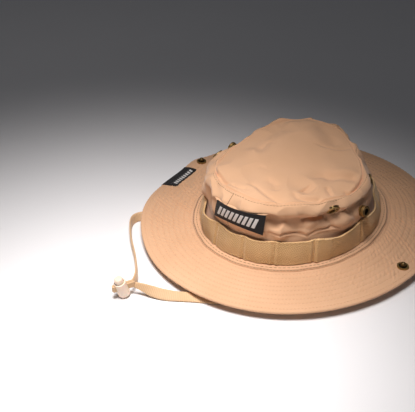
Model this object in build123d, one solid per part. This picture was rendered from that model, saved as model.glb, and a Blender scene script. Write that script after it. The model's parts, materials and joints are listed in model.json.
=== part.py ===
"""Boonie hat: soft crown, stitched brim with snap-up sides, foliage band, chin cord with a spring lock.

Millimetres. The origin is under the middle of the hat, on the surface that it rests on.
+Z is up, the front of the hat faces -Y, and the wearer's left side is +X.
"""

from build123d import *
import math
import os

os.makedirs("parts", exist_ok=True)

# Head size 58: the crown's base is an oval of 576 mm round.
HEAD_RX = 84.0
HEAD_RY = 100.0
BRIM_WIDTH = 57.0
BRIM_RX = HEAD_RX + BRIM_WIDTH
BRIM_RY = HEAD_RY + BRIM_WIDTH
BRIM_Z = 8.0
CLOTH = 0.8
BRIM_TOP = BRIM_Z + 3 * CLOTH
HEM = 2.0

WALL = 1.0
WALL_STRAIGHT_Z = 36.0
WALL_TOP_Z = 78.0
WALL_LEAN = 9.0
TIP_RISE = 6.5
TIP_STEP = 21.0

TAPE_HEIGHT = 5.0
SWEATBAND_T = 1.2
SWEATBAND_TOP = 34.0
SEAM_T = 2.5

FOLD_X = 91.0
SNAP_X = 129.0
SNAP_R = 5.3
SNAP_Z = 47.6

BAND_GAP = 2.2
BAND_T = 1.3
BAND_LOW = 12.6
BAND_TOP = 35.6
STRIP_WIDTH = 6.0
TACK_ANGLES = (-97, -75, -56, -33, 0, 33, 62, 90, 118, 147, 180, 213, 236)

VENT_Y = 33.0
VENT_Z = 65.5
VENT_R = 6.2
VENT_HOLE_R = 3.6

LABEL_LENGTH = 50.0
LABEL_HEIGHT = 18.5
LABEL_T = 0.8
LABEL_ANGLE = -81.0
LABEL_Z = 52.0
BRIM_LABEL_LENGTH = 40.0
BRIM_LABEL_DEPTH = 18.0
BRIM_LABEL_ANGLE = 193.3
BRIM_LABEL_T = 0.6

CORD_R = 2.0
STRAP_T = 2.0
STRAP_H = 5.4
STRAP_GAP = 0.3
ANCHOR_X = 90.0
ANCHOR_Z = 4.2

LOCK_XY = (-27.5, -196.3)
LOCK_HEADING = 70.0
LOCK_LEAN = 14.0
LOCK_R = 5.5
LOCK_LENGTH = 15.2
LOCK_FLOOR = 1.0
LOCK_BASE_Z = 1.6
LOCK_SLOT_AT = 9.6
LOCK_LEGS = 11.5
BUTTON_R = 3.9
BUTTON_BORE = 4.2
BUTTON_TOP = 20.2
BUTTON_LOW = 4.7
BUTTON_TRAVEL = 2.2
SLOT_CLEAR = 0.3

# The chin cord's two strands, from the lock to their anchors under the brim.
STRAND_RIGHT = [
    (-25.6, -184.8, 10.6),
    (-28.6, -180.0, 9.4),
    (-34.0, -174.0, 7.2),
    (-43.5, -166.3, 5.4),
    (-58.0, -156.2, 4.9),
    (-74.0, -146.8, 4.9),
    (-84.5, -139.5, 4.9),
    (-92.5, -133.3, 4.9),
    (-100.0, -126.8, 4.9),
    (-104.5, -119.3, 4.9),
    (-102.8, -111.2, 4.9),
    (-96.6, -105.5, 4.9),
    (-91.5, -93.0, 4.6),
    (-93.0, -74.0, 4.2),
    (-90.0, -52.0, 3.8),
    (-92.5, -30.0, 3.9),
    (-ANCHOR_X, -8.0, ANCHOR_Z),
]
STRAND_LEFT = [
    (-21.6, -186.2, 10.6),
    (-16.5, -182.6, 9.0),
    (-9.0, -178.4, 6.2),
    (0.5, -172.2, 3.9),
    (10.5, -163.4, 2.8),
    (20.5, -154.2, 2.6),
    (36.0, -142.5, 2.6),
    (52.0, -126.0, 2.6),
    (69.0, -111.5, 2.6),
    (83.0, -92.0, 2.6),
    (88.5, -69.0, 2.6),
    (93.0, -46.0, 2.8),
    (92.5, -25.0, 3.5),
    (ANCHOR_X, -8.0, ANCHOR_Z),
]


def oval(rx, ry, low, high):
    """A straight oval plug from one height to another."""
    return extrude(Plane.XY.offset(low) * Ellipse(rx, ry), high - low)


def oval_ring(outer, inner, low, high):
    """A straight oval ring; outer and inner are pairs of half-widths."""
    return oval(*outer, low, high) - oval(*inner, low - 1, high + 1)


def crown_plug(grow):
    """The crown's outer shape as one solid, made larger by grow all round."""
    rx = HEAD_RX + grow
    ry = HEAD_RY + grow
    foot = oval(rx, ry, BRIM_Z, WALL_STRAIGHT_Z)
    wide = Plane.XY.offset(WALL_STRAIGHT_Z) * Ellipse(rx, ry)
    narrow = Plane.XY.offset(WALL_TOP_Z) * Ellipse(rx - WALL_LEAN, ry - WALL_LEAN)
    return foot + loft([wide, narrow])


def slab(low, high):
    """Everything between two heights."""
    return Pos(0, 0, (low + high) / 2) * Box(400, 400, high - low)


def wall_plane(angle, z):
    """A plane on the crown's wall: its Z points out of the wall and its Y points up it."""
    lean = WALL_LEAN / (WALL_TOP_Z - WALL_STRAIGHT_Z)
    shrink = max(0.0, z - WALL_STRAIGHT_Z) * lean
    slope = lean if z > WALL_STRAIGHT_Z else 0.0
    rx = HEAD_RX - shrink
    ry = HEAD_RY - shrink
    c = math.cos(math.radians(angle))
    s = math.sin(math.radians(angle))
    across = Vector(c / rx, s / ry, 0).normalized()
    along = Vector(-across.Y, across.X, 0)
    out = Vector(across.X, across.Y, slope).normalized()
    return Plane(origin=(rx * c, ry * s, z), x_dir=along, z_dir=out)


def wall_angle(side, y, z):
    """The oval's angle where the wall is y forward or back of the middle of one side."""
    ry = HEAD_RY - max(0.0, z - WALL_STRAIGHT_Z) * WALL_LEAN / (WALL_TOP_Z - WALL_STRAIGHT_Z)
    angle = math.degrees(math.asin(y / ry))
    return angle if side > 0 else 180.0 - angle


def side_box(side):
    """Everything outside the fold line of one side of the brim."""
    return Pos(side * (FOLD_X + 50), 0, 20) * Box(100, 400, 100)


def snap_planes(side):
    """The brim snap's plane and the crown snap's plane on one side."""
    brim = Plane(origin=(side * SNAP_X, 0, BRIM_TOP), z_dir=(0, 0, 1))
    crown = wall_plane(wall_angle(side, 0, SNAP_Z), SNAP_Z)
    return brim, crown


def vent_planes():
    """The planes of the four vent eyelets, two on each side."""
    places = [(side, y) for side in (1, -1) for y in (VENT_Y, -VENT_Y)]
    return [wall_plane(wall_angle(side, y, VENT_Z), VENT_Z) for side, y in places]


def crown_side(side):
    """One half of the crown's wall, seamed to the other at the front and the back."""
    wall = crown_plug(0) - crown_plug(-WALL)
    wall -= slab(WALL_TOP_Z, WALL_TOP_Z + 10)
    half = wall & (Pos(side * 100, 0, 50) * Box(200, 400, 200))
    for plane in vent_planes():
        half -= plane * Cylinder(VENT_HOLE_R, 8)
    return half - snap_planes(side)[1] * Cylinder(1.7, 8)


def dome(drop):
    """The crown tip's shape as a solid, sunk by drop."""
    rx = HEAD_RX - WALL_LEAN - drop
    ry = HEAD_RY - WALL_LEAN - drop
    rim = Plane.XY.offset(WALL_TOP_Z) * Ellipse(rx, ry)
    top = Plane.XY.offset(WALL_TOP_Z + TIP_RISE - drop) * Ellipse(rx - TIP_STEP, ry - TIP_STEP)
    return loft([rim, top])


def crown_seam_tape():
    """The bias tape over the seam allowance inside the top of the wall."""
    ring = crown_plug(-WALL) - crown_plug(-WALL - 0.9)
    return ring & slab(WALL_TOP_Z - TAPE_HEIGHT - 0.5, WALL_TOP_Z - 0.5)


def brim_layer(number):
    """One layer of the brim out to the hem, with the crown's oval and snap holes cut out."""
    low = BRIM_Z + number * CLOTH
    layer = oval_ring((BRIM_RX - HEM, BRIM_RY - HEM), (HEAD_RX, HEAD_RY), low, low + CLOTH)
    for side in (1, -1):
        layer -= Pos(side * SNAP_X, 0, low) * Cylinder(2.1, 10)
    return layer


def brim_hem():
    """The turned and stitched edge of the brim."""
    return oval_ring((BRIM_RX, BRIM_RY), (BRIM_RX - HEM, BRIM_RY - HEM), BRIM_Z, BRIM_TOP)


def split_brim(name, whole):
    """Writes a brim layer as its fixed front and back and its two folding sides."""
    left = whole & side_box(1)
    right = whole & side_box(-1)
    write(name, whole - side_box(1) - side_box(-1))
    write(name + "_left", left)
    write(name + "_right", right)


def foliage_band():
    """The webbing band, standing off the crown between its tacks."""
    inner = (HEAD_RX + BAND_GAP, HEAD_RY + BAND_GAP)
    outer = (inner[0] + BAND_T, inner[1] + BAND_T)
    return oval_ring(outer, inner, BAND_LOW, BAND_TOP)


def band_tacks():
    """The bar tacks that hold the band to the crown."""
    gap = oval_ring((HEAD_RX + BAND_GAP, HEAD_RY + BAND_GAP), (HEAD_RX, HEAD_RY), BAND_LOW, BAND_TOP)
    tacks = []
    for angle in TACK_ANGLES:
        plane = wall_plane(angle, 20)
        bar = plane * Box(2.4, BAND_TOP - BAND_LOW, 12)
        middle = (BAND_TOP + BAND_LOW) / 2 - 20
        tacks += (gap & bar.moved(Pos(0, 0, middle))).solids()
    return Compound(tacks)


def brim_snap(side):
    """The stud half of a snap: ring and stud over the brim, post through it, eyelet under it."""
    plane = snap_planes(side)[0]
    ring = plane * extrude(Circle(SNAP_R), 1.2)
    ring -= plane.offset(0.5) * extrude(Circle(SNAP_R - 1.6), 2)
    stud = plane * extrude(Circle(1.9), 3.0) + plane.offset(2.6) * Sphere(2.4)
    post = plane.offset(-3 * CLOTH - 0.2) * extrude(Circle(2.0), 3 * CLOTH + 0.8)
    eyelet = plane.offset(-3 * CLOTH - 0.9) * extrude(Circle(SNAP_R), 0.9)
    return ring + stud + post + eyelet


def crown_snap(side):
    """The socket half of a snap, on the outside of the crown."""
    plane = snap_planes(side)[1]
    body = plane.offset(-2) * extrude(Circle(SNAP_R), 5.0) - crown_plug(0)
    body = fillet(body.edges().filter_by(GeomType.CIRCLE).group_by(Axis.X)[-1 if side > 0 else 0], 0.6)
    return body - plane.offset(0.8) * extrude(Circle(3.2), 4)


def crown_snap_cap(side):
    """The cap inside the crown, with the post that goes through the cloth to the socket."""
    plane = snap_planes(side)[1]
    cap = (plane.offset(-2.6) * extrude(Circle(SNAP_R), 4)) & crown_plug(-WALL)
    post = (plane.offset(-1.6) * extrude(Circle(1.6), 3)) & crown_plug(0)
    return cap + post


def vent_eyelet(plane):
    """The outer half of a vent eyelet: a rolled flange and its barrel through the cloth."""
    flange = plane.offset(-1) * extrude(Circle(VENT_R), 2.0) - crown_plug(0)
    barrel = plane.offset(-2.2) * extrude(Circle(VENT_HOLE_R - 0.1), 3.2)
    return (flange + barrel) - plane.offset(-4) * extrude(Circle(VENT_HOLE_R - 0.7), 8)


def vent_washer(plane):
    """The inner half of a vent eyelet."""
    washer = (plane.offset(-2.2) * extrude(Circle(VENT_R - 0.5), 3)) & crown_plug(-WALL)
    return washer - plane.offset(-4) * extrude(Circle(VENT_HOLE_R), 8)


def vent_screen(plane):
    """The wire gauze in a vent eyelet."""
    wires = []
    for step in range(-2, 3):
        wires.append(plane * Pos(step * 1.1, 0, -0.4) * Box(0.3, 8, 0.3))
        wires.append(plane * Pos(0, step * 1.1, -0.4) * Box(8, 0.3, 0.3))
    gauze = wires[0]
    for wire in wires[1:]:
        gauze += wire
    return gauze & (plane * Cylinder(VENT_HOLE_R - 0.7, 2))


def front_label():
    """The woven label on the crown's front, sewn flat to the wall."""
    skin = crown_plug(LABEL_T) - crown_plug(0)
    plane = wall_plane(LABEL_ANGLE, LABEL_Z)
    return skin & (plane * Box(LABEL_LENGTH, LABEL_HEIGHT, 14))


def brim_label():
    """The woven label folded round the edge of the right-hand side of the brim."""
    low = BRIM_Z - BRIM_LABEL_T
    high = BRIM_TOP + BRIM_LABEL_T
    wrap = oval(BRIM_RX + 0.5, BRIM_RY + 0.5, low, high) - oval(BRIM_RX, BRIM_RY, BRIM_Z, BRIM_TOP)
    c = math.cos(math.radians(BRIM_LABEL_ANGLE))
    s = math.sin(math.radians(BRIM_LABEL_ANGLE))
    out = Vector(c / BRIM_RX, s / BRIM_RY, 0).normalized()
    plane = Plane(origin=(BRIM_RX * c, BRIM_RY * s, BRIM_TOP), x_dir=out, z_dir=(0, 0, 1))
    return wrap & (plane * Box(2 * BRIM_LABEL_DEPTH, BRIM_LABEL_LENGTH, 12))


def inside_label():
    """The blank care label sewn to the wall inside the back of the crown."""
    skin = crown_plug(-WALL) - crown_plug(-WALL - 0.4)
    return skin & (wall_plane(90, 55) * Box(32, 24, 14))


def cord_anchor(side):
    """The folded tab under the brim that holds one end of the chin cord."""
    tab = Pos(side * 89.5, 0, ANCHOR_Z) * Box(7.6, 16, 6.4)
    return tab - oval(HEAD_RX + SEAM_T, HEAD_RY + SEAM_T, -5, 20)


def strand(points):
    """One strand of the chin cord, as a round tube of straight runs and tangent arcs."""
    radii = []
    for before, corner, after in zip(points, points[1:], points[2:]):
        run_in = Vector(*corner) - Vector(*before)
        run_out = Vector(*after) - Vector(*corner)
        turn = math.radians(run_in.get_angle(run_out))
        radii.append(0.45 * min(run_in.length, run_out.length) / math.tan(turn / 2))
    path = FilletPolyline(*points, radius=radii)
    start = Plane(origin=path @ 0, z_dir=path % 0)
    tube = sweep(start * Circle(CORD_R), path=path)
    print("strand arcs", [round(radius, 1) for radius in radii], "length", round(path.length, 1))
    print("volume", round(tube.volume), "section x length", round(math.pi * CORD_R**2 * path.length))
    return tube


def slot_plane():
    """The lock's slot: X along the cord towards the hat, Z up, at the middle of the slot."""
    lean = math.radians(LOCK_LEAN)
    heading = math.radians(LOCK_HEADING)
    height = LOCK_BASE_Z + LOCK_SLOT_AT * math.cos(lean)
    along = (math.cos(heading), math.sin(heading), 0)
    return Plane(origin=(*LOCK_XY, height), x_dir=along, z_dir=(0, 0, 1))


def lock_plane():
    """The lock's own frame: origin at the middle of its foot, Z along its leaning axis."""
    leaning = Plane(slot_plane().location * Location((0, 0, 0), (0, -LOCK_LEAN, 0)))
    return leaning.offset(-LOCK_SLOT_AT)


def slot_cut(above):
    """The space round the doubled cord in the lock, taller by above for the button's travel."""
    width = 2 * STRAP_T + STRAP_GAP + 2 * SLOT_CLEAR
    height = STRAP_H + 2 * SLOT_CLEAR + above
    return slot_plane() * Pos(0, 0, above / 2) * Box(40, width, height)


def cord_fold():
    """The doubled end of the chin cord, pressed flat where it goes through the lock."""
    outer = STRAP_T + STRAP_GAP / 2
    inner = STRAP_GAP / 2
    end_x = -LOCK_R - 0.9
    shape = Pos((LOCK_LEGS + end_x) / 2, 0) * Rectangle(LOCK_LEGS - end_x, 2 * outer)
    shape += Pos(end_x, 0) * Circle(outer)
    shape -= Pos((LOCK_LEGS + end_x) / 2, 0) * Rectangle(LOCK_LEGS - end_x, 2 * inner)
    shape -= Pos(end_x, 0) * Circle(inner)
    return slot_plane().offset(-STRAP_H / 2) * extrude(shape, STRAP_H)


def lock_body():
    """The lock's barrel, closed at its foot and open at the top for the button."""
    barrel = extrude(Circle(LOCK_R), LOCK_LENGTH)
    barrel = fillet(barrel.edges().group_by(Axis.Z)[0], 1.6)
    barrel = fillet(barrel.edges().group_by(Axis.Z)[-1], 0.6)
    barrel -= Pos(0, 0, LOCK_FLOOR) * extrude(Circle(BUTTON_BORE), LOCK_LENGTH)
    return lock_plane() * barrel - slot_cut(0)


def lock_button():
    """The button and its plunger, with the cross slot that pinches the cord."""
    plunger = Pos(0, 0, BUTTON_LOW) * extrude(Circle(BUTTON_R), BUTTON_TOP - BUTTON_LOW)
    plunger = fillet(plunger.edges().group_by(Axis.Z)[-1], 1.8)
    return lock_plane() * plunger - slot_cut(BUTTON_TRAVEL + 0.3)


def lock_spring():
    """The compression spring under the plunger."""
    wire = 0.5
    rise = BUTTON_LOW - LOCK_FLOOR - wire - 0.1
    helix = Helix(pitch=rise / 2.5, height=rise, radius=2.8)
    section = Plane(origin=helix @ 0, z_dir=helix % 0) * Circle(wire / 2)
    coil = sweep(section, path=helix, is_frenet=True)
    return lock_plane() * Pos(0, 0, LOCK_FLOOR + wire / 2 + 0.05) * coil


def write(name, shape):
    """Writes one sub-part."""
    export_step(shape, f"parts/{name}.step")


def write_crown():
    """The crown: wall halves, tip, tape, sweatband, trims and eyelets."""
    write("crown_side_left", crown_side(1))
    write("crown_side_right", crown_side(-1))
    write("crown_tip", dome(0) - dome(1.0))
    write("crown_seam_tape", crown_seam_tape())
    inner = (HEAD_RX - WALL, HEAD_RY - WALL)
    band = (inner[0] - SWEATBAND_T, inner[1] - SWEATBAND_T)
    write("sweatband", oval_ring(inner, band, 0, SWEATBAND_TOP))
    seam = (HEAD_RX + SEAM_T, HEAD_RY + SEAM_T)
    write("brim_seam_binding", oval_ring(seam, inner, 0, BRIM_Z))
    write("front_label", front_label())
    write("inside_label", inside_label())
    write("vent_eyelets", Compound([vent_eyelet(plane) for plane in vent_planes()]))
    write("vent_washers", Compound([vent_washer(plane) for plane in vent_planes()]))
    write("vent_screens", Compound([vent_screen(plane) for plane in vent_planes()]))


def write_brim():
    """The brim's layers, hem, base strip, snaps and label."""
    for number, name in enumerate(("brim_under_cloth", "brim_stiffener", "brim_top_cloth")):
        split_brim(name, brim_layer(number))
    split_brim("brim_hem", brim_hem())
    strip = (HEAD_RX + STRIP_WIDTH, HEAD_RY + STRIP_WIDTH)
    write("base_strip", oval_ring(strip, (HEAD_RX, HEAD_RY), BRIM_TOP, BRIM_TOP + CLOTH))
    write("brim_label", brim_label())
    for side, word in ((1, "left"), (-1, "right")):
        write(f"brim_snap_{word}", brim_snap(side))
        write(f"crown_snap_{word}", crown_snap(side))
        write(f"crown_snap_cap_{word}", crown_snap_cap(side))


def write_band_and_cord():
    """The foliage band and the chin cord with its anchors and lock."""
    write("foliage_band", foliage_band())
    write("band_tacks", band_tacks())
    write("cord_anchor_left", cord_anchor(1))
    write("cord_anchor_right", cord_anchor(-1))
    write("chin_cord_left", strand(STRAND_LEFT))
    write("chin_cord_right", strand(STRAND_RIGHT))
    write("chin_cord_fold", cord_fold())
    write("lock_body", lock_body())
    write("lock_button", lock_button())
    write("lock_spring", lock_spring())


write_crown()
write_brim()
write_band_and_cord()
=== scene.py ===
"""Boonie hat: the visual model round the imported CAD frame, with its floor, lights and camera.

Lengths are in millimetres until mesh_object() makes them metres.
t is the angle on the head oval, 0 at the wearer's left and 270 degrees at the front.
"""

import json
import math

import bpy
import numpy as np
from mathutils import Matrix, Vector

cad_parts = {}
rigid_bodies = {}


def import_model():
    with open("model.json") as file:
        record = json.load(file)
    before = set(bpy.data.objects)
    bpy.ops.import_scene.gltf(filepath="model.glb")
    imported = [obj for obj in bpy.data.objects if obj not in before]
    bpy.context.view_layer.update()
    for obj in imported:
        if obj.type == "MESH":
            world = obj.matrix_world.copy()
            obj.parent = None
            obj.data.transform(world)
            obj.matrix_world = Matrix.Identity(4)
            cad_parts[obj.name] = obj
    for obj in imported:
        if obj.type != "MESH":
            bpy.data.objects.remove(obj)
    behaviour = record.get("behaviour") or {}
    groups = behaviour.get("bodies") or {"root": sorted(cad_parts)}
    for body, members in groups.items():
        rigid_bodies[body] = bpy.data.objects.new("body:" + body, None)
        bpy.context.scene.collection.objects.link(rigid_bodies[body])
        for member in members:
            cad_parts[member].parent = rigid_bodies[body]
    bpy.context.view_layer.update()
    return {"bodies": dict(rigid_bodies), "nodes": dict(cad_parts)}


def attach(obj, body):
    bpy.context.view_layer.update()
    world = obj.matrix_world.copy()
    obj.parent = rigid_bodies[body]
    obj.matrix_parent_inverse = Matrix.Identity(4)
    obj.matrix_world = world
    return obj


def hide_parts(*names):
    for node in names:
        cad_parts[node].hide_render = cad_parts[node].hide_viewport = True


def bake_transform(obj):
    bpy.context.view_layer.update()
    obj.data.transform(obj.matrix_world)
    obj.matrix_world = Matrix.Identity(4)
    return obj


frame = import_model()

MM = 0.001
TAU = 2 * math.pi
UP = np.array([0.0, 0.0, 1.0])

# ---------------------------------------------------------------- camera

camera = bpy.data.objects.new("camera", bpy.data.cameras.new("camera"))
camera.data.sensor_width = 36
camera.data.lens = 58.55
camera.data.shift_y = 0.0084
CAMERA_AT = Vector((0.33666, -0.45333, 0.39947))
CAMERA_RIGHT = Vector((0.7049, 0.7093, 0.0)).normalized()
CAMERA_BACK = Vector((0.5813, -0.5776, 0.5731)).normalized()
camera_up = CAMERA_BACK.cross(CAMERA_RIGHT)
axes = Matrix((CAMERA_RIGHT, camera_up, CAMERA_BACK)).transposed().to_4x4()
camera.matrix_world = Matrix.Translation(CAMERA_AT) @ axes
bpy.context.scene.collection.objects.link(camera)
bpy.context.scene.camera = camera

# ---------------------------------------------------------------- mesh helpers


def unit(v):
    """Vectors scaled to a length of one."""
    return v / np.linalg.norm(v, axis=-1, keepdims=True)


def run_along(points):
    """The distance run from the first point of a line, or of each column of a grid."""
    steps = np.linalg.norm(np.diff(points, axis=0), axis=-1)
    return np.concatenate([np.zeros_like(steps[:1]), np.cumsum(steps, axis=0)])


def mesh_object(name, points, faces, material, uvs=None, sharp=50):
    """A new smooth object; uvs has one pair for each face corner."""
    mesh = bpy.data.meshes.new(name)
    mesh.from_pydata((np.asarray(points, float) * MM).tolist(), [], [list(f) for f in faces])
    mesh.shade_smooth()
    mesh.set_sharp_from_angle(angle=math.radians(sharp))
    if uvs is not None:
        layer = mesh.uv_layers.new(name="weave")
        layer.data.foreach_set("uv", (np.asarray(uvs, float) * MM).ravel().astype(np.float32))
    mesh.materials.append(material)
    obj = bpy.data.objects.new(name, mesh)
    bpy.context.scene.collection.objects.link(obj)
    return obj


def quads(rows, cols, wrap_rows=False, wrap_cols=False):
    """Corner indices of a grid's faces, and the same in a grid with one more row and column."""
    r, c = np.meshgrid(
        np.arange(rows - (not wrap_rows)), np.arange(cols - (not wrap_cols)), indexing="ij"
    )
    r, c = r.ravel(), c.ravel()
    corners = [(r, c), (r, c + 1), (r + 1, c + 1), (r + 1, c)]
    faces = np.stack([(a % rows) * cols + b % cols for a, b in corners], -1)
    wide = np.stack([a * (cols + 1) + b for a, b in corners], -1)
    return faces, wide


def sweep(name, points, material, uv, wrap_cols=True, sharp=50):
    """A closed section (rows) swept along cols. uv has one more row and column than points."""
    rows, cols = points.shape[:2]
    faces, wide = quads(rows, cols, True, wrap_cols)
    uvs = uv.reshape(-1, 2)[wide].reshape(-1, 2)
    faces = faces.tolist()
    if not wrap_cols:
        for c, way in ((0, 1), (cols - 1, -1)):
            faces.append([r * cols + c for r in range(rows)][::way])
            uvs = np.concatenate([uvs, np.zeros((rows, 2))])
    return mesh_object(name, points.reshape(-1, 3), faces, material, uvs, sharp)


def normals(points):
    """Unit normals of rings of points, outward where rows go up and cols go anticlockwise."""
    side = (np.roll(points, -1, 1) - np.roll(points, 1, 1)) / 2
    n = np.cross(side, np.gradient(points, axis=0))
    return n / np.maximum(np.linalg.norm(n, axis=-1, keepdims=True), 1e-9)


def slab(outer, inner):
    """Points and faces of a thin closed solid between two open grids."""
    rows, cols = outer.shape[:2]
    faces, _ = quads(rows, cols)
    count = rows * cols
    rim = [(r, 0) for r in range(rows - 1, 0, -1)] + [(0, c) for c in range(cols - 1)]
    rim += [(r, cols - 1) for r in range(rows - 1)]
    rim += [(rows - 1, c) for c in range(cols - 1, 0, -1)]
    rim = [r * cols + c for r, c in rim]
    sides = [[b, a, a + count, b + count] for a, b in zip(rim, rim[1:] + rim[:1])]
    faces = faces.tolist() + (faces[:, ::-1] + count).tolist() + sides
    return np.concatenate([outer.reshape(-1, 3), inner.reshape(-1, 3)]), faces


def merged(name, parts, material, sharp=50):
    """One object from several (points, faces), with flat UVs."""
    points, faces, at = [], [], 0
    for p, f in parts:
        points.append(p)
        faces += [[i + at for i in face] for face in f]
        at += len(p)
    points = np.concatenate(points)
    uvs = np.array([points[i][:2] for face in faces for i in face])
    return mesh_object(name, points, faces, material, uvs, sharp)


def around(values, t):
    """The smooth periodic curve through values evenly spaced round the oval, at angles t."""
    n = len(values)
    c = np.fft.rfft(values) / n
    out = np.full(np.shape(t), c[0].real)
    for k in range(1, len(c)):
        share = 1 if 2 * k == n else 2
        out = out + share * (c[k].real * np.cos(k * t) - c[k].imag * np.sin(k * t))
    return out


def through(rings, s):
    """The Catmull-Rom curves through the first axis of rings, at s in numbers along it."""
    last = len(rings) - 1
    k = np.clip(np.floor(s).astype(int), 0, last - 1)
    u = s - k
    near = (np.clip(k + j, 0, last)[None] for j in (-1, 0, 1, 2))
    a, b, c, d = (np.take_along_axis(rings, index, 0)[0] for index in near)
    square = (2 * a - 5 * b + 4 * c - d) * u**2
    return 0.5 * (2 * b + (c - a) * u + square + (3 * b - a - 3 * c + d) * u**3)


def ripples(points, seed, shortest, longest, stretch=(1, 1, 1), count=28):
    """Smooth noise of about unit size in space, the same for the same seed."""
    r = np.random.default_rng(seed)
    out = 0
    for _ in range(count):
        way = r.normal(size=3)
        way /= np.linalg.norm(way)
        length = math.exp(r.uniform(math.log(shortest), math.log(longest)))
        phase = r.uniform(0, TAU)
        size = (length / longest) ** 0.7
        out = out + size * np.sin(TAU * (points / stretch) @ way / length + phase)
    return out / math.sqrt(count / 3)


def bump_at(x, centre, width):
    """A rounded bump of height one."""
    return np.exp(-(((x - centre) / width) ** 2))


def step(x, low, high):
    """A smooth step from 0 at low to 1 at high."""
    u = np.clip((x - low) / (high - low), 0, 1)
    return u * u * (3 - 2 * u)


def line_distance(x, y, line):
    """Distance of points from an open line, their share of its run, and their side of it."""
    best = np.full(np.shape(x), 1e9)
    share = np.zeros(np.shape(x))
    side = np.zeros(np.shape(x))
    runs = list(zip(line, line[1:]))
    for i, ((ax, ay), (bx, by)) in enumerate(runs):
        dx, dy = bx - ax, by - ay
        u = np.clip(((x - ax) * dx + (y - ay) * dy) / (dx * dx + dy * dy), 0, 1)
        d = np.hypot(x - ax - u * dx, y - ay - u * dy)
        near = d < best
        best = np.where(near, d, best)
        share = np.where(near, (i + u) / len(runs), share)
        side = np.where(near, np.sign(dx * (y - ay) - dy * (x - ax)), side)
    return best, share, side


def even_angles(rx, ry, spacing, start=0.0, end=TAU):
    """Angles evenly spaced along an oval."""
    t = np.linspace(start, end, 4001)
    steps = np.hypot(np.diff(rx * np.cos(t)), np.diff(ry * np.sin(t)))
    length = np.concatenate([[0], np.cumsum(steps)])
    n = max(2, round(length[-1] / spacing))
    return np.interp((np.arange(n) + 0.5) / n * length[-1], length, t)


def stitches(centres, along, normal, length, width):
    """Points and faces of raised stitches, one at each centre."""
    ring = [(0.5, 0.0), (0.0, 0.62), (-0.5, 0.0), (0.0, -0.3)]
    template = [(-0.5, 0.0, -0.2)]
    template += [(-0.3, b, c) for b, c in ring] + [(0.3, b, c) for b, c in ring]
    template.append((0.5, 0.0, -0.2))
    template = np.array(template) * (length, width, width)
    normal = np.broadcast_to(normal, along.shape)
    points = centres[:, None]
    for k, way in enumerate((along, np.cross(normal, along), normal)):
        points = points + template[None, :, k, None] * way[:, None]
    one = [[0, 1 + (i + 1) % 4, 1 + i] for i in range(4)]
    one += [[1 + i, 1 + (i + 1) % 4, 5 + (i + 1) % 4, 5 + i] for i in range(4)]
    one += [[9, 5 + i, 5 + (i + 1) % 4] for i in range(4)]
    faces = [[i + 10 * n for i in face] for n in range(len(centres)) for face in one]
    return points.reshape(-1, 3), faces


def stitch_line(points, normal, length=2.1, width=0.5):
    """Stitches centred on points, each along the line that the points follow."""
    along = np.gradient(points, axis=0)
    along -= (along * normal).sum(-1, keepdims=True) * normal
    return stitches(points, unit(along), normal, length, width)


# ---------------------------------------------------------------- materials


class Nodes:
    """A short way to build one material's nodes."""

    def __init__(self, name):
        self.material = bpy.data.materials.new(name)
        self.material.use_nodes = True
        self.tree = self.material.node_tree
        self.shader = self.tree.nodes["Principled BSDF"]

    def add(self, kind, **settings):
        node = self.tree.nodes.new(kind)
        for key, value in settings.items():
            setattr(node, key, value)
        return node

    def put(self, value, socket):
        """Sets a socket to a number or a colour, or links an output to it."""
        if isinstance(value, (int, float)):
            socket.default_value = value
        elif isinstance(value, tuple):
            socket.default_value = (*value, 1.0)
        else:
            self.tree.links.new(value, socket)

    def coords(self, which="UV"):
        return self.add("ShaderNodeTexCoord").outputs[which]

    def noise(self, vector, scale, detail=3.0):
        node = self.add("ShaderNodeTexNoise")
        node.inputs["Scale"].default_value = scale
        node.inputs["Detail"].default_value = detail
        self.put(vector, node.inputs["Vector"])
        return node.outputs["Fac"]

    def wave(self, vector, scale, direction, distortion=0.6, detail_scale=2.0):
        node = self.add("ShaderNodeTexWave", bands_direction=direction)
        node.inputs["Scale"].default_value = scale
        node.inputs["Distortion"].default_value = distortion
        node.inputs["Detail"].default_value = 1.0
        node.inputs["Detail Scale"].default_value = detail_scale
        self.put(vector, node.inputs["Vector"])
        return node.outputs["Fac"]

    def math(self, operation, a, b):
        node = self.add("ShaderNodeMath", operation=operation)
        for socket, value in zip(node.inputs, (a, b)):
            self.put(value, socket)
        return node.outputs[0]

    def mix(self, factor, a, b):
        node = self.add("ShaderNodeMix", data_type="RGBA")
        # 0, 6 and 7 are the factor and the two colours of a colour mix, and 2 is its result.
        for index, value in ((0, factor), (6, a), (7, b)):
            self.put(value, node.inputs[index])
        return node.outputs[2]

    def ramp(self, factor, low, high):
        node = self.add("ShaderNodeMapRange")
        node.inputs["From Min"].default_value = low
        node.inputs["From Max"].default_value = high
        self.put(factor, node.inputs["Value"])
        return node.outputs["Result"]

    def bump(self, height, strength, distance):
        node = self.add("ShaderNodeBump")
        node.inputs["Strength"].default_value = strength
        node.inputs["Distance"].default_value = distance
        self.put(height, node.inputs["Height"])
        self.put(node.outputs["Normal"], self.shader.inputs["Normal"])

    def finish(self, colour, roughness, **constants):
        self.put(colour, self.shader.inputs["Base Color"])
        self.put(roughness, self.shader.inputs["Roughness"])
        for key, value in constants.items():
            self.shader.inputs[key.replace("_", " ")].default_value = value
        return self.material


# A wave texture of scale 1 repeats every TAU / 20.
WAVE_PERIOD = 0.314


def darker(colour, share):
    return tuple(c * share for c in colour)


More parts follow.
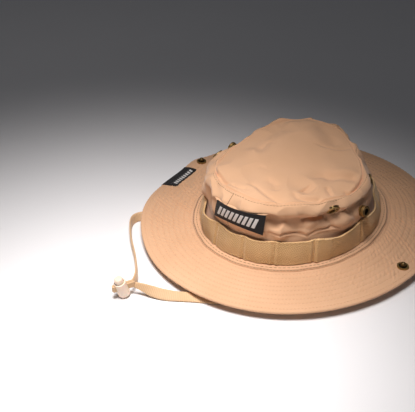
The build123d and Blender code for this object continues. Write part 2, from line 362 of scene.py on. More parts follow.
def cloth(name, light, dark, thread_mm, strength, diagonal=0.0, sheen=0.25):
    """Woven cotton: crossing threads with painted shade in the dips between them, slubs and slow changes of
    tone, on UVs in metres.
    """
    m = Nodes(name)
    uv = m.coords()
    if diagonal:
        turn = m.add("ShaderNodeMapping")
        turn.inputs["Rotation"].default_value = (0, 0, diagonal)
        m.put(uv, turn.inputs["Vector"])
        uv = turn.outputs["Vector"]
    scale = WAVE_PERIOD / (thread_mm * MM)
    warp = m.wave(uv, scale, "X", 0.9, 1.5)
    weft = m.wave(uv, scale, "Y", 0.9, 1.5)
    weave = m.math("MULTIPLY", m.math("ADD", warp, weft), 0.5)
    slub = m.noise(uv, 420.0, 4.0)
    cloud = m.noise(m.coords("Object"), 22.0, 3.0)
    shade = m.mix(m.ramp(cloud, 0.3, 0.7), dark, light)
    slubs = m.math("MULTIPLY", m.ramp(slub, 0.35, 0.7), 0.16)
    shade = m.mix(slubs, shade, darker(dark, 0.72))
    # Painted shade: the colour is darkened in the dips between the threads, and less on their raised tops.
    raised = m.math("MULTIPLY", m.ramp(weave, 0.1, 0.55), 0.22)
    shade = m.mix(raised, darker(dark, 0.62), shade)
    shade = m.mix(0.82, shade, m.mix(m.ramp(cloud, 0.3, 0.7), dark, light))
    m.bump(m.math("ADD", weave, m.math("MULTIPLY", slub, 0.6)), strength, thread_mm * MM * 0.4)
    rough = m.math("ADD", 0.74, m.math("MULTIPLY", slub, 0.2))
    return m.finish(shade, rough, Sheen_Weight=sheen, Sheen_Roughness=0.45, Specular_IOR_Level=0.3)


def braid(name, light, dark, rib_mm=0.0):
    """Plaited or twisted thread; rib_mm paints shade into the dips between the ribs of a swept braid."""
    m = Nodes(name)
    at = m.coords("Object")
    fibre = m.noise(at, 2600.0, 2.0)
    cloud = m.noise(at, 60.0, 2.0)
    shade = m.mix(m.ramp(cloud, 0.3, 0.7), dark, light)
    fibres = m.math("MULTIPLY", m.ramp(fibre, 0.35, 0.75), 0.3)
    shade = m.mix(fibres, shade, darker(dark, 0.6))
    if rib_mm:
        ribs = m.wave(m.coords(), WAVE_PERIOD / (rib_mm * MM), "X", 0.4, 1.0)
        # Painted shade: the colour is darkened in the dips between the braid's ribs.
        painted_rib_shade = m.math("MULTIPLY", m.ramp(ribs, 0.42, 0.05), 0.28)
        shade = m.mix(painted_rib_shade, shade, darker(dark, 0.5))
    m.bump(fibre, 0.35, 0.0003)
    rough = m.math("ADD", 0.6, m.math("MULTIPLY", fibre, 0.3))
    return m.finish(shade, rough, Sheen_Weight=0.25, Sheen_Roughness=0.4)


def brass(name, dark, bright, share):
    """Blackened brass with the bright metal showing where it is rubbed."""
    m = Nodes(name)
    at = m.coords("Object")
    worn = m.ramp(m.noise(at, 420.0, 4.0), share - 0.12, share + 0.16)
    edge = m.ramp(m.add("ShaderNodeNewGeometry").outputs["Pointiness"], 0.5, 0.56)
    rubbed = m.math("MAXIMUM", m.math("MULTIPLY", worn, 0.55), edge)
    fine = m.noise(at, 3000.0, 2.0)
    m.bump(fine, 0.2, 0.0001)
    rough = m.math("ADD", 0.3, m.math("MULTIPLY", fine, 0.25))
    return m.finish(m.mix(rubbed, dark, bright), rough, Metallic=0.9)


def plastic(name, base, warm):
    """Moulded plastic with a faint satin grain."""
    m = Nodes(name)
    at = m.coords("Object")
    grain = m.noise(at, 1800.0, 3.0)
    shade = m.mix(m.ramp(m.noise(at, 90.0, 2.0), 0.35, 0.65), base, warm)
    m.bump(grain, 0.12, 0.0001)
    rough = m.math("ADD", 0.34, m.math("MULTIPLY", grain, 0.14))
    return m.finish(shade, rough, Subsurface_Weight=0.15, Subsurface_Scale=0.002, Specular_IOR_Level=0.45)


HAT = cloth("hat_cotton", (0.80, 0.483, 0.290), (0.735, 0.432, 0.250), 0.8, 0.45)
WEBBING = cloth("webbing_weave", (0.93, 0.62, 0.31), (0.62, 0.38, 0.16), 1.6, 1.0, 0.42, 0.35)
LINING = cloth("sweatband_cotton", (0.70, 0.42, 0.25), (0.62, 0.36, 0.21), 0.7, 0.3)
BLACK = cloth("label_black_weave", (0.016, 0.014, 0.015), (0.010, 0.009, 0.010), 0.45, 0.35, 0.0, 0.15)
WHITE = cloth("label_white_satin", (0.84, 0.82, 0.80), (0.72, 0.70, 0.68), 0.5, 0.4, 0.0, 0.2)
GREY = cloth("label_grey_thread", (0.16, 0.15, 0.15), (0.10, 0.09, 0.09), 0.4, 0.4)
THREAD = braid("sewing_thread", (0.68, 0.40, 0.235), (0.58, 0.33, 0.19))
# Painted shade: this thread's dark colour stands in for the shade in sunk stitch lines and for the band's
# shadow on the strip.
SEAM_PAINTED_SHADE = braid("seam_painted_shade", (0.30, 0.18, 0.09), (0.20, 0.115, 0.055))
TACK_THREAD = braid("tack_thread", (0.78, 0.51, 0.25), (0.60, 0.37, 0.16))
BRAID = braid("cord_braid", (0.80, 0.53, 0.31), (0.72, 0.46, 0.25), 1.6)
ANTIQUE = brass("antique_brass", (0.045, 0.030, 0.018), (0.42, 0.27, 0.10), 0.62)
VENT_BRASS = brass("vent_brass", (0.10, 0.065, 0.03), (0.50, 0.33, 0.13), 0.5)
STEEL = brass("spring_steel", (0.40, 0.39, 0.38), (0.62, 0.61, 0.60), 0.5)
GAUZE = brass("vent_gauze", (0.03, 0.022, 0.015), (0.16, 0.11, 0.05), 0.6)
PLASTIC = plastic("lock_plastic", (0.88, 0.70, 0.56), (0.85, 0.64, 0.50))


def place(obj, body, slot, *replaced):
    """Rides a piece on a body and hides the CAD nodes that it stands for; its slot is not used."""
    if body in frame["bodies"]:
        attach(obj, body)
    if replaced:
        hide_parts(*replaced)
    return obj


def dress(material, *nodes):
    """Gives CAD nodes that stay a better material."""
    for name in nodes:
        node = frame["nodes"][name]
        if not node.material_slots:
            node.data.materials.append(material)
        for slot in node.material_slots:
            slot.material = material


# ---------------------------------------------------------------- chin cord

STRAND_RIGHT = [
    (-0.0256, -0.1848, 0.0106), (-0.0286, -0.1800, 0.0094), (-0.0340, -0.1740, 0.0072),
    (-0.0435, -0.1663, 0.0054), (-0.0580, -0.1562, 0.0049), (-0.0740, -0.1468, 0.0049),
    (-0.0845, -0.1395, 0.0049), (-0.0925, -0.1333, 0.0049), (-0.1000, -0.1268, 0.0049),
    (-0.1045, -0.1193, 0.0049), (-0.1028, -0.1112, 0.0049), (-0.0966, -0.1055, 0.0046),
    (-0.0915, -0.0930, 0.0042), (-0.0930, -0.0740, 0.0040), (-0.0900, -0.0520, 0.0038),
    (-0.0925, -0.0300, 0.0039), (-0.0900, -0.0080, 0.0042),
]
STRAND_LEFT = [
    (-0.0216, -0.1862, 0.0106), (-0.0165, -0.1826, 0.0090), (-0.0090, -0.1784, 0.0062),
    (0.0005, -0.1722, 0.0039), (0.0105, -0.1634, 0.0028), (0.0205, -0.1542, 0.0026),
    (0.0360, -0.1425, 0.0026), (0.0520, -0.1260, 0.0026), (0.0690, -0.1115, 0.0026),
    (0.0830, -0.0920, 0.0026), (0.0885, -0.0690, 0.0026), (0.0930, -0.0460, 0.0028),
    (0.0925, -0.0250, 0.0035), (0.0900, -0.0080, 0.0042),
]
# Tilt of the braid's width from level, in degrees, at shares of its length from the lock.
TILT_RIGHT = [
    (0, 76), (0.06, 84), (0.2, 90), (0.42, 88), (0.5, 72), (0.545, 40), (0.6, 26), (0.75, 20), (1, 22),
]
TILT_LEFT = [(0, 74), (0.05, 62), (0.1, 46), (0.17, 24), (0.25, 20), (0.7, 20), (0.9, 18), (1, 20)]
BRAID_WIDTH = 9.5
BRAID_THICK = 1.9


def nurbs_line(points):
    """The points of the smooth NURBS line with these control points."""
    curve = bpy.data.curves.new("route", "CURVE")
    curve.dimensions = "3D"
    curve.resolution_u = 32
    spline = curve.splines.new("NURBS")
    spline.points.add(len(points) - 1)
    for point, place_at in zip(spline.points, points):
        point.co = (*place_at, 1.0)
    spline.order_u = 3
    spline.use_endpoint_u = True
    carrier = bpy.data.objects.new("route", curve)
    mesh = bpy.data.meshes.new_from_object(carrier)
    line = np.array([v.co for v in mesh.vertices], float)
    bpy.data.meshes.remove(mesh)
    bpy.data.objects.remove(carrier)
    bpy.data.curves.remove(curve)
    return line


def ribbon(side, control, tilts):
    """One strand of flat braid, narrowed where it enters the lock."""
    line = nurbs_line(control) / MM
    run = run_along(line)
    at = np.arange(0, run[-1], 0.45)
    mid = np.stack([np.interp(at, run, line[:, k]) for k in range(3)], -1)
    along = unit(np.gradient(mid, axis=0))
    level = unit(np.cross(UP, along))
    over = np.cross(along, level)
    tilt = np.radians(np.interp(at / run[-1], *zip(*tilts)))
    kernel = np.hanning(31) / np.hanning(31).sum()
    tilt = np.convolve(np.pad(tilt, 15, "edge"), kernel, "valid")[:, None]
    wide = np.cos(tilt) * level + np.sin(tilt) * over
    face = np.cross(along, wide)
    half = np.interp(at, [0, 2.5, 16], [2.75, 3.0, BRAID_WIDTH / 2])
    half = np.where(at > run[-1] - 6, half * 0.9, half)
    wobble = 1 + 0.02 * np.sin(at / 9.0) + 0.012 * np.sin(at / 3.7)
    section = np.linspace(0, TAU, 24, endpoint=False)
    u = np.sign(np.cos(section)) * np.abs(np.cos(section)) ** 0.55
    v = np.sign(np.sin(section)) * np.abs(np.sin(section)) ** 0.8
    # The plait: short ribs leaning towards the middle of the face from both edges.
    rib = np.abs(np.sin(np.pi * (at[None] / 2.0 + np.abs(u)[:, None] * 0.8)))
    thick = BRAID_THICK / 2 * (0.72 + 0.36 * rib) * (1 - 0.12 * bump_at(u, 0, 0.12))[:, None]
    across = u[:, None] * (half * wobble)[None] * (0.985 + 0.03 * rib)
    points = mid + across[..., None] * wide + (v[:, None] * thick)[..., None] * face
    grid_u, grid_v = np.meshgrid(np.append(at, run[-1]), np.linspace(0, 22, 25))
    uv = np.stack([grid_u, grid_v], -1)
    obj = sweep(f"chin_braid_{side}", points, BRAID, uv, wrap_cols=False)
    place(obj, "root", "cord_braid", f"chin_cord_{side}")
    return obj, line * MM


dress(PLASTIC, "lock_body", "lock_button")
dress(STEEL, "lock_spring")
dress(BRAID, "chin_cord_fold")
strands = (("right", STRAND_RIGHT, TILT_RIGHT), ("left", STRAND_LEFT, TILT_LEFT))
ribbons = [ribbon(side, control, tilts) for side, control, tilts in strands]

# ---------------------------------------------------------------- crown

HEAD_X, HEAD_Y = 84.0, 100.0
# The station of the tip's seam, and how far below it the topstitching runs.
TIP_SEAM = 7
TOPSTITCH = -3.1
# Radii that turn angles into millimetres of arc, on the wall and on the band.
WALL_RADIUS, BAND_RADIUS = 92.0, 95.0
# The crown's profile: the share of the head oval and the height at each station, every 30 degrees.
CROWN_SHARE = np.array([
    [0.978] * 12,
    [0.955, 0.935, 0.930, 0.950, 0.960, 0.960, 0.955, 0.945, 0.950, 0.960, 0.962, 0.960],
    [0.935, 0.868, 0.855, 0.900, 0.930, 0.935, 0.930, 0.905, 0.915, 0.935, 0.940, 0.940],
    [0.950, 0.850, 0.820, 0.870, 0.915, 0.925, 0.955, 0.950, 0.945, 0.965, 0.960, 0.945],
    [0.890, 0.805, 0.735, 0.775, 0.822, 0.835, 0.866, 0.928, 0.945, 0.955, 0.900, 0.875],
    [0.925, 0.765, 0.675, 0.705, 0.760, 0.775, 0.785, 0.885, 0.940, 0.985, 0.960, 0.935],
    [0.895, 0.740, 0.650, 0.685, 0.725, 0.735, 0.735, 0.825, 0.890, 0.935, 0.930, 0.905],
    [0.835, 0.705, 0.620, 0.640, 0.675, 0.690, 0.695, 0.775, 0.835, 0.850, 0.865, 0.845],
])
CROWN_SHARE = np.concatenate([CROWN_SHARE] + [CROWN_SHARE[-1:] * share for share in (0.80, 0.46, 0.012)])
CROWN_Z = np.array([
    [8.8] * 12,
    [22.0] * 12,
    [35.0] * 12,
    [46.5] * 12,
    [56.0, 56.0, 57.0, 58.0, 58.0, 57.0, 56.0, 54.5, 55.0, 56.0, 56.5, 56.0],
    [61.5, 64.0, 68.0, 71.0, 73.5, 71.5, 64.5, 59.8, 61.0, 63.5, 64.0, 62.5],
    [66.5, 67.5, 70.8, 75.0, 77.5, 75.5, 67.8, 63.8, 66.0, 68.6, 69.0, 67.8],
    [68.6, 69.0, 72.0, 76.3, 79.2, 77.3, 69.6, 66.0, 68.6, 70.2, 70.8, 69.6],
    [70.0, 71.0, 73.6, 77.8, 80.3, 79.0, 72.4, 69.4, 70.7, 71.5, 71.2, 70.0],
    [70.5, 72.0, 74.6, 77.8, 79.2, 78.2, 75.5, 73.6, 72.8, 72.0, 70.8, 70.0],
    [74.2] * 12,
])


def crown_smooth(t, s):
    """The crown's shape without wrinkles, at angles t and stations s of the same shape."""
    tables = (CROWN_SHARE, CROWN_Z)
    share, z = (through(np.stack([around(row, t) for row in table]), s) for table in tables)
    return np.stack([HEAD_X * share * np.cos(t), HEAD_Y * share * np.sin(t), z], -1)


# Creases of the crown's top: line in x and y, depth, half width, and lean, which raises one side.
TOP_CREASES = [
    ([(29, 50), (25, 41), (20, 35), (11, 29), (0, 24)], 1.0, 2.2, 0.9),
    ([(34, -6), (46, 1), (54, 8), (63, 18)], 2.4, 5.0, 1.2),
    ([(3, 1), (18, -1), (30, -5), (40, -7)], 2.6, 10.0, 0.5),
    ([(-15, -38), (-3, -37), (-6, -28)], 0.9, 3.0, 0.8),
    ([(-7, -13), (1, -21)], 1.2, 4.0, 0.6),
    ([(-26, -25), (-34, -10), (-37, 2)], 1.0, 4.5, 0.8),
    ([(-2, -68), (7, -66), (20, -69), (36, -70), (47, -67)], 1.5, 3.2, -1.1),
    ([(34, -49), (46, -52), (53, -48), (58, -43), (61, -36)], 1.6, 3.0, 1.3),
    ([(38, -36), (48, -36)], 1.8, 9.0, 0.0),
    ([(52, -19), (58, -24), (65, -28)], 1.2, 2.0, 0.9),
    ([(65, -13), (73, -9), (71, 2), (68, 11), (62, 27)], 2.6, 2.2, 0.8),
    ([(-48, -64), (-36, -71), (-20, -78), (-12, -80)], 2.2, 2.0, 0.8),
    ([(-12, -78), (-1, -79), (8, -76)], 1.0, 1.8, -0.8),
    ([(-35, -24), (-40, -4), (-41, 21), (-35, 37)], 2.2, 11.0, 0.5),
    ([(5, -47), (19, -50), (26, -59)], 1.0, 3.2, 0.9),
    ([(-20, 58), (2, 52), (24, 38)], 1.8, 9.0, 0.5),
    ([(-52, 30), (-44, 44), (-30, 54)], 1.3, 5.0, 0.9),
]
# Creases of the wall: line in degrees and height, depth, half width and lean.
WALL_CREASES = [
    (
        [(297, 42.0), (309, 43.5), (317, 41.5), (323, 38.8), (330, 43.5), (338, 43.0), (347, 39.5)],
        1.7, 1.1, -1.3,
    ),
    ([(318, 54), (323, 58), (331, 60)], 2.2, 2.4, 1.0),
    ([(296, 61), (301, 55), (304, 47)], 1.6, 2.6, -0.9),
    ([(328, 53), (332, 57), (337, 50), (338.5, 41)], 1.9, 2.2, 0.9),
    ([(306, 58), (314, 50), (324, 47), (331, 49)], 1.6, 3.0, 0.8),
    ([(346, 56), (352, 49), (356, 40)], 1.8, 2.4, -0.8),
    ([(240, 60), (246, 52), (252, 46)], 1.3, 2.6, 0.9),
    ([(222, 58), (230, 54), (238, 55)], 1.4, 2.8, 0.8),
    ([(205, 52), (214, 44), (226, 41)], 1.2, 2.8, 0.7),
    ([(20, 60), (34, 50), (42, 40)], 2.0, 3.0, 0.9),
    ([(52, 64), (60, 50), (64, 41)], 1.8, 3.4, -0.8),
    ([(76, 60), (88, 48), (104, 44)], 1.7, 3.2, 0.9),
    ([(112, 66), (120, 54), (134, 46)], 1.8, 3.4, -0.9),
    ([(140, 68), (150, 56), (166, 60)], 1.6, 3.0, 0.9),
    ([(168, 44), (186, 40), (200, 44)], 1.2, 2.2, -0.9),
]
TOP_DEPTH = 1.35
# Degrees at the ends of the front label, and the height of the snaps on the crown.
LABEL_FROM, LABEL_TO = 262.6, 296.6
SNAP_Z = 47.6


def crease(distance, share, side, depth, width, lean):
    """A valley along a line with one side raised, fading out at the line's ends."""
    fade = step(share, -0.02, 0.2) * step(1 - share, -0.02, 0.2)
    valley = np.exp(-((distance / width) ** 2))
    away = distance * side / (1.6 * width)
    return -depth * fade * (valley - 0.75 * lean * away * np.exp(-(away**2)))


def wall_lift(base, degrees, station):
    """Folds and creases of the wall, quiet round the snaps and under the front label."""
    z = base[..., 2]
    wall = step(z, 34, 44) * step(7.2 - station, 0, 1.0)
    label = step(degrees, LABEL_FROM - 5, LABEL_FROM) * step(-degrees, -LABEL_TO - 4, -LABEL_TO)
    quiet = 1 - 0.92 * label * (station < 4.9)
    for centre in (0, 180, 360):
        near = np.exp(-(((degrees - centre) * 1.47 / 9) ** 2 + ((z - SNAP_Z) / 9) ** 2) ** 2)
        quiet = quiet * (1 - near)
    folds = ripples(base, 3, 16, 44, (1, 1, 1.5))
    sharp_folds = np.abs(ripples(base, 4, 20, 50, (1, 1, 1.9)))
    lift = wall * quiet * (1.1 * folds + 2.3 * (0.5 - sharp_folds))
    for line, depth, width, lean in WALL_CREASES:
        arc = [(a * 1.6, b) for a, b in line]
        lift += wall * quiet * crease(*line_distance(degrees * 1.6, z, arc), depth, width, lean)
    # Behind the band the folds are faint.
    return lift + 0.25 * folds * step(z, 10, 20) * (1 - step(z, 34, 44))


def tip_lift(base, station):
    """Folds and creases of the tip."""
    tip = step(station, TIP_SEAM - 0.6, TIP_SEAM + 0.25)
    soft = ripples(base, 11, 26, 80, (1, 1, 1))
    lift = tip * (0.9 * soft + 1.0 * (0.5 - np.abs(ripples(base, 12, 26, 64))))
    for line, depth, width, lean in TOP_CREASES:
        away = line_distance(base[..., 0], base[..., 1], line)
        lift += tip * crease(*away, TOP_DEPTH * depth, width, lean)
    return lift


def seam_lift(degrees, station, from_seam):
    """The tip's seam with puckers and topstitching, and the front and back seams."""
    pucker = np.sin(degrees * 1.6 / 3.3 + 2 * np.sin(degrees * 0.21))
    pucker = pucker * (0.6 + 0.4 * np.sin(degrees * 0.09))
    lift = -1.15 * bump_at(from_seam, 0, 0.8)
    lift += 0.45 * bump_at(from_seam, -1.7, 1.1) + 0.3 * bump_at(from_seam, 1.6, 1.2)
    lift += -0.35 * bump_at(from_seam, TOPSTITCH, 0.45)
    lift += 0.22 * pucker * np.exp(-np.abs(from_seam + 1.5) / 4.5)
    for centre in (90, 270):
        across = (degrees - centre) * 1.5
        seam = 0.3 * bump_at(across, 1.2, 1.0) - 0.45 * bump_at(across, 0, 0.55)
        lift = lift + (station < TIP_SEAM) * seam
    return lift


def bowl(x, y):
    """The terms of a second degree surface."""
    return np.stack([np.ones_like(x), x, y, x * x, x * y, y * y], -1)


def crown_surface(t, s):
    """The wrinkled crown as a grid of points, with its normals and its run from the tip's seam."""
    base = crown_smooth(*np.meshgrid(t, s))
    n = normals(base)
    n[-1] = UP
    degrees, station = np.degrees(t)[None], s[:, None]
    run = run_along(base)
    from_seam = run - run[np.argmin(np.abs(s - TIP_SEAM))]
    lift = wall_lift(base, degrees, station) + tip_lift(base, station)
    lift = lift + seam_lift(degrees, station, from_seam)
    points = base + n * lift[..., None]
    # The middle of the tip is eased to a bowl fitted to the rings round it.
    x, y, z = points[(s > 8.6) & (s < 9.2)].reshape(-1, 3).T
    fit = np.linalg.lstsq(bowl(x, y), z, rcond=None)[0]
    eased = step(station, 8.6, 9.4)
    points[..., 2] += eased * (bowl(points[..., 0], points[..., 1]) @ fit - points[..., 2])
    return points, normals(points), from_seam


T_COLS = 540
crown_t = np.linspace(0, TAU, T_COLS, endpoint=False)
crown_s = [np.linspace(0, 2, 30, endpoint=False), np.linspace(2, 8, 120, endpoint=False)]
crown_s = np.concatenate([*crown_s, np.linspace(8, 10, 60)])
crown_points, crown_normals, seam_run = crown_surface(crown_t, crown_s)
rows = len(crown_s)
faces, wide = quads(rows, T_COLS, False, True)
wide_t = np.append(crown_t, TAU)
wall_run = run_along(crown_smooth(np.zeros(rows), crown_s))
wall_uv = np.stack(np.meshgrid(wide_t * WALL_RADIUS, wall_run), -1)
flat_uv = np.concatenate([crown_points, crown_points[:, :1]], 1)[..., :2]
on_tip = (crown_s[faces[:, 3] // T_COLS] > TIP_SEAM + 0.02)[:, None, None]
corner_uv = np.where(on_tip, flat_uv.reshape(-1, 2)[wide], wall_uv.reshape(-1, 2)[wide])
corner_uv = corner_uv.reshape(-1, 2)
pole = crown_points[-1].mean(0)
last = (rows - 1) * T_COLS
fan = [[last + c, last + (c + 1) % T_COLS, rows * T_COLS] for c in range(T_COLS)]
corner_uv = np.concatenate([corner_uv, np.tile(pole[:2], (3 * T_COLS, 1))])
crown = mesh_object(
    "crown_cloth",
    np.concatenate([crown_points.reshape(-1, 3), pole[None]]),
    faces.tolist() + fan,
    HAT,
    corner_uv,
    sharp=70,
)
place(crown, "root", "hat_cloth", "crown_side_left", "crown_side_right", "crown_tip")
solid = crown.modifiers.new("cloth thickness", "SOLIDIFY")
solid.thickness = 0.8 * MM
solid.offset = -1


def on_crown(t, s, lift=0.0):
    """Points and normals on the finished crown at angles t (radians) and stations s."""
    t, s = np.broadcast_arrays(np.asarray(t, float) % TAU, np.asarray(s, float))
    col = t / TAU * T_COLS
    row = np.interp(s, crown_s, np.arange(rows))
    c0, r0 = np.floor(col).astype(int), np.clip(np.floor(row).astype(int), 0, rows - 2)
    u, v = (col - c0)[..., None], (row - r0)[..., None]
    out = []
    for grid in (crown_points, crown_normals):
        a, b = grid[r0, c0 % T_COLS], grid[r0, (c0 + 1) % T_COLS]
        c, d = grid[r0 + 1, c0 % T_COLS], grid[r0 + 1, (c0 + 1) % T_COLS]
        out.append((a * (1 - u) + b * u) * (1 - v) + (c * (1 - u) + d * u) * v)
    n = unit(out[1])
    return out[0] + n * np.asarray(lift)[..., None], n


def crown_rows_at(run_wanted, t):
    """Stations where the run from the tip's seam is run_wanted, for each angle."""
    cols = np.round(np.asarray(t) / TAU * T_COLS).astype(int) % T_COLS
    return np.array([np.interp(run_wanted, seam_run[:, c], crown_s) for c in cols])


# Topstitching below the tip's seam, and down the front and back seams, darkened with painted shade of sunk
# stitches.
t = even_angles(76, 90, 2.9)
crown_threads = [stitch_line(*on_crown(t, crown_rows_at(TOPSTITCH, t), 0.02))]
for degrees in (91.6, 271.6):
    centres, n = on_crown(np.radians(degrees), np.linspace(2.1, 6.6, 22), 0.05)
    crown_threads.append(stitch_line(centres, n))
place(merged("crown_stitches", crown_threads, SEAM_PAINTED_SHADE), "root", "thread")

# ---------------------------------------------------------------- brim

BRIM_WIDTH = 57.0
BRIM_TOP = 10.4
BRIM_THICK = 2.4
SNAP_X = 129.0
# Height of the brim's edge every 22.5 degrees.
EDGE_Z = [9.4, 7.6, 6.2, 5.8, 5.7, 6.4, 7.0, 5.2, 2.9, 4.4, 11.4, 9.0, 8.6, 9.4, 10.2, 10.0]
BRIM_ROWS = [9.5, 14.8, 20.1, 25.4, 30.7, 36.0, 41.3, 46.6]
ROW_PITCH = 5.3
HEM_ROW = 53.2
# Strength of the puckers every 45 degrees.
PUCKER = [1.7, 2.6, 1.8, 1.3, 2.0, 2.6, 0.75, 0.5]
HALVES = (("left", -90, 90, 1), ("right", 90, 270, -1))


def brim_xy(t, d):
    """The point at angle t, a distance d outside the head oval."""
    return (HEAD_X + d) * np.cos(t), (HEAD_Y + d) * np.sin(t)


def oval_normal(t):
    """Level normals of the head oval."""
    return unit(np.stack([np.cos(t) / HEAD_X, np.sin(t) / HEAD_Y, 0 * t], -1))


def from_snap(t, d):
    """The distance from the nearer snap in the brim."""
    x, y = brim_xy(t, d)
    return np.hypot(np.abs(x) - SNAP_X, y)


def brim_sag(t, d):
    """The height of the brim's top without its stitching."""
    snap = bump_at(from_snap(t, d), 0, 16.0)
    swell = 0.5 * np.sin(3 * t + 0.8) + 0.35 * np.sin(5 * t + 2.2)
    share = np.clip(d / BRIM_WIDTH, 0, 1.1)
    return BRIM_TOP + (1 - snap) * ((around(EDGE_Z, t) - BRIM_TOP) * share**1.7 + swell * share**1.5)


def brim_top(t, d):
    """The height of the brim's top, with stitch rows, the puckers between them and the hem."""
    z = brim_sag(t, d)
    amount = around(PUCKER, t)
    nearest = np.min([np.abs(d - row) for row in BRIM_ROWS], axis=0)
    inside = step(d, 6.5, 9.0) * (1 - step(d, 48.5, 51.5))
    quilted = (1 - np.exp(-((from_snap(t, d) / 8.5) ** 4))) * inside
    z = z - quilted * (0.36 + 0.16 * amount) * bump_at(nearest, 0, 0.75)
    z = z + quilted * 0.12 * (1 - bump_at(nearest, 0, 1.9))
    # Puckers: short slanting ridges, out of step from row to row, and folds that cross the rows.
    row = (d - BRIM_ROWS[0]) / ROW_PITCH
    index = np.floor(row)
    run = t * 0.5 * (HEAD_X + HEAD_Y + 2 * d)
    slant = run + 1.1 * ROW_PITCH * (row - index) + 2.1 * np.sin(index * 2.4)
    ridges = np.sin(TAU * slant / 4.6 + 1.3 * np.sin(t * 9 + index))
    ridges = ridges * (0.6 + 0.4 * np.sin(t * 31 + index * 1.7))
    folds = np.sin(TAU * (t * 118 + 0.9 * d) / 5.4 + 1.5 * np.sin(t * 7))
    folds = folds * (0.7 + 0.3 * np.sin(t * 23 + 0.08 * d))
    between = np.sin(np.pi * np.clip(row - index, 0, 1)) ** 0.7
    puckers = (0.55 * ridges + 0.6 * folds) * (0.35 + 0.65 * between)
    z = z + quilted * 0.36 * amount * puckers
    # The side seams, from the strip round the crown's foot to the snaps.
    _, y = brim_xy(t, d)
    z = z - 0.35 * bump_at(y, 0, 0.5) * step(d, 5, 7) * (1 - step(d, 49, 52))
    # The hem: a turned edge that stands a little proud, held by its row.
    z = z + 0.38 * step(d, 51.4, 52.2) - 0.42 * bump_at(d, HEM_ROW, 0.6)
    z = z + 0.10 * np.sin(TAU * run / 5.1) * amount * step(d, 52, 54)
    return z


def at_height(t, d, z):
    """Points at angles t, distances d outside the head oval and heights z."""
    x, y = brim_xy(t, d)
    return np.stack([x, y, z + 0 * x], -1)


def brim_normal(t, d):
    """Normals of the brim without its stitching."""
    point = lambda t, d: at_height(t, d, brim_sag(t, d))
    outward = point(t, d + 0.5) - point(t, d - 0.5)
    side = point(t + 0.01, d) - point(t - 0.01, d)
    return unit(np.cross(outward, side))


def across_fold(obj, side, sign, slot, *replaced):
    """Places a piece of the brim, hides the CAD nodes that it stands for and bakes its transform into its
    mesh.
    """
    place(obj, None, slot, *replaced)
    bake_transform(obj)


BRIM_LAYERS = ("brim_top_cloth", "brim_stiffener", "brim_under_cloth", "brim_hem")
EDGE_D = 56.4
top_d = np.concatenate([np.arange(-0.6, EDGE_D, 0.62), [EDGE_D]])
under_d = np.concatenate([np.arange(56.2, 50, -0.9), np.arange(49.5, 0, -2.4), [-0.6]])


def brim_section(t):
    """Rows of the brim's outside: the top, round the edge and back along the underside."""
    rows = [at_height(t, d, brim_top(t, np.full_like(t, d))) for d in top_d]
    rim_z = brim_top(t, np.full_like(t, EDGE_D))
    for a in np.radians(np.linspace(75, -75, 9)):
        d = 56.35 + 1.25 * math.cos(a)
        rows.append(at_height(t, d, rim_z - 1.4 + 1.42 * math.sin(a)))
    for d in under_d:
        pad = -0.35 * step(d, 51.5, 52.5) + 0.1 * np.sin(t * 60) * (d > 52)
        rows.append(at_height(t, d, brim_sag(t, d) - BRIM_THICK + pad))
    return np.stack(rows)[::-1]


def capped_sweep(name, points, material, sharp):
    """A section swept with closed ends, whose UVs are its x and y."""
    closed = np.concatenate([points, points[:1]])
    closed = np.concatenate([closed, closed[:, -1:]], 1)
    return sweep(name, points, material, closed[..., :2], wrap_cols=False, sharp=sharp)


for side, start, end, sign in HALVES:
    section = brim_section(np.radians(np.linspace(start, end, 501)))
    brim = capped_sweep(f"brim_cloth_{side}", section, HAT, 60)
    if side == "left":
        nodes = [n for layer in BRIM_LAYERS for n in (layer, f"{layer}_left")]
    else:
        nodes = [f"{layer}_right" for layer in BRIM_LAYERS]
    across_fold(brim, side, sign, "hat_cloth", *nodes)
    # Rows of stitching, broken at the snap.
    threads = []
    for d in [*BRIM_ROWS, HEM_ROW]:
        t = even_angles(HEAD_X + d, HEAD_Y + d, 3.1, math.radians(start), math.radians(end))
        t = t[from_snap(t, d) > 6.4]
        row = np.full_like(t, d)
        points = at_height(t, d, brim_top(t, row) + 0.03)
        along = unit(np.stack([-(HEAD_X + d) * np.sin(t), (HEAD_Y + d) * np.cos(t), 0 * t], -1))
        threads.append(stitches(points, along, brim_normal(t, row), 2.1, 0.42))
    across_fold(merged(f"brim_stitches_{side}", threads, THREAD), side, sign, "thread")

# ---------------------------------------------------------------- strip round the crown's foot

T_RING = 900
ring_t = np.linspace(0, TAU, T_RING, endpoint=False)
wide_ring = np.append(ring_t, TAU)


def ring_uv(count, height):
    """UVs for count rows round the head oval."""
    return np.stack(np.meshgrid(wide_ring * BAND_RADIUS, np.linspace(0, height, count + 1)), -1)


def strip_wander(t):
    """How far the strip's outer edge wanders."""
    return 0.22 * np.sin(t * 14 + 1) + 0.15 * np.sin(t * 31)


# The strip's section: distance outside the head oval and height over the brim, with a ditch.
STRIP_SECTION = [
    (-2.2, 0.9), (-0.8, 1.30), (0.8, 1.20), (2.4, 1.15), (4.0, 1.25), (4.75, 1.35), (5.1, 1.05), (5.3, -0.1),
    (5.8, -0.15), (5.95, 0.55), (6.2, 0.95), (6.6, 0.8), (6.85, 0.1), (6.6, -0.35), (3.0, -0.4), (-2.2, -0.4),
]
DITCH = 5.6
strip_points = []
for d, z in STRIP_SECTION:
    wander = strip_wander(ring_t) if d > 4 else 0
    rise = 0.08 * np.sin(ring_t * 95) * (z > 0.9)
    strip_points.append(at_height(ring_t, d + wander, BRIM_TOP + z + rise))
strip = sweep("foot_strip", np.stack(strip_points)[::-1], HAT, ring_uv(len(STRIP_SECTION), 14))
place(strip, "root", "hat_cloth", "base_strip")
